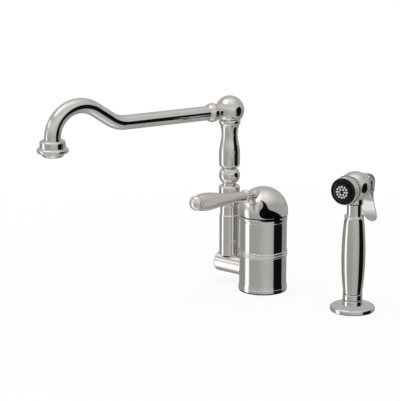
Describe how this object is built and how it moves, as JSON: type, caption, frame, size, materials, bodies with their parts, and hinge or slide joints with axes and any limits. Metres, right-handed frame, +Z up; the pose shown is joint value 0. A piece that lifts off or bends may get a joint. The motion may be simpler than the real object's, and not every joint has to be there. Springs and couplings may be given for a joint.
{
  "type": "kitchen faucet with side spray",
  "caption": "Single-lever kitchen tap with a swivelling arched spout on a turned column beside a domed mixer body, and a separate pull-up side spray with squeeze trigger.",
  "frame": {"origin": "centre of the mixer body's underside, on the sink deck", "axes": "+Z up from the deck; +X from the column through the body to the side spray; -Y towards the user"},
  "size_m": [0.2918, 0.2795, 0.2356],
  "materials": {
    "polished_nickel": "polished nickel plating on brass, mirror bright",
    "satin_nickel": "satin nickel plating, softly brushed",
    "brass": "turned, unplated",
    "stainless": "turned",
    "black_plastic": "moulded, fine satin",
    "grey_nubs": "soft moulded",
    "black_rubber": "matt",
    "cartridge_plastic": "moulded",
    "ceramic": "ground ceramic"
  },
  "bodies": {
    "base": {"body_shell": "polished_nickel", "body_gasket": "black_rubber", "supply_block": "brass", "cartridge_housing": "cartridge_plastic", "port_seals": "black_rubber", "fixed_disc": "ceramic", "cartridge_nut": "brass", "bonnet_ring": "black_plastic", "link_pipe": "polished_nickel", "pipe_end_cap": "polished_nickel", "diverter_seat": "black_plastic", "column_tube": "polished_nickel", "column_waist": "polished_nickel", "column_ball": "polished_nickel", "column_vase": "polished_nickel", "column_collar": "polished_nickel", "riser_tube": "brass", "swivel_nipple": "brass", "swivel_seals": "black_rubber", "swivel_washer": "black_plastic", "flange_gasket": "black_rubber", "spray_flange": "polished_nickel", "spray_holder": "polished_nickel", "holder_liner": "black_plastic"},
    "mixer_turn": {"cartridge_rotor": "cartridge_plastic", "pivot_pin": "stainless"},
    "handle": {"cartridge_stem": "stainless", "handle_hub": "polished_nickel", "dome_cap": "polished_nickel", "handle_screw": "stainless", "lever_neck": "polished_nickel", "lever_bead": "polished_nickel", "lever_grip": "satin_nickel", "lever_button": "satin_nickel", "lever_rod": "stainless"},
    "mixing_disc": {"moving_disc": "ceramic", "disc_carrier": "cartridge_plastic"},
    "diverter": {"diverter_piston": "black_plastic"},
    "spout": {"spout_hub": "polished_nickel", "retaining_screw": "stainless", "spout_bead": "polished_nickel", "spout_tube": "polished_nickel", "outlet_bell": "polished_nickel", "aerator_housing": "polished_nickel", "aerator_washer": "black_rubber", "aerator_screen": "stainless", "aerator_insert": "cartridge_plastic"},
    "hose_end": {"hose_connector": "polished_nickel"},
    "hand_spray": {"spray_grip": "satin_nickel", "spray_neck": "polished_nickel", "spray_head": "polished_nickel", "nozzle_ring": "polished_nickel", "spray_face": "black_plastic", "face_nubs": "grey_nubs", "valve_bush": "brass", "trigger_pin": "stainless"},
    "trigger": {"trigger": "polished_nickel"},
    "plunger": {"valve_plunger": "stainless", "valve_spring": "stainless"}
  },
  "joints": [
    {"name": "mixer_turn", "type": "hinge", "parent": "base", "child": "mixer_turn", "pos_m": [0, 0, 0.062], "axis": [0, 0, 1], "range_deg": [-45, 45]},
    {"name": "lever_lift", "type": "hinge", "parent": "mixer_turn", "child": "handle", "pos_m": [0, 0, 0.062], "axis": [-1, 0, 0], "range_deg": [0, 22]},
    {"name": "disc_slide", "type": "slide", "parent": "mixer_turn", "child": "mixing_disc", "axis": [0, 1, 0], "range_m": [-0.0028, 0.0002]},
    {"name": "diverter_slide", "type": "slide", "parent": "base", "child": "diverter", "axis": [1, 0, 0], "range_m": [0, 0.004], "stiffness_N_per_m": 150, "springref_m": -0.006},
    {"name": "spout_turn", "type": "hinge", "parent": "base", "child": "spout", "pos_m": [-0.05, 0, 0.19], "axis": [0, 0, 1], "continuous": true},
    {"name": "spray_lift", "type": "slide", "parent": "base", "child": "hose_end", "axis": [0, 0, 1], "range_m": [0, 0.12]},
    {"name": "spray_turn", "type": "hinge", "parent": "hose_end", "child": "hand_spray", "pos_m": [0.126, 0, 0.02], "axis": [0, 0, 1], "continuous": true},
    {"name": "trigger_squeeze", "type": "hinge", "parent": "hand_spray", "child": "trigger", "pos_m": [0.12284, 0.01792, 0.1468], "axis": [-0.9848, -0.1736, 0], "range_deg": [0, 12], "stiffness_Nm_per_rad": 0.6, "springref_deg": -6.88},
    {"name": "plunger_slide", "type": "slide", "parent": "hand_spray", "child": "plunger", "axis": [0.1736, -0.9848, 0], "range_m": [0, 0.0021]}
  ],
  "couplings": [
    {"joint": "disc_slide", "follows": "lever_lift", "m_per_rad": -0.0068},
    {"joint": "plunger_slide", "follows": "trigger_squeeze", "m_per_rad": 0.0099459}
  ]
}
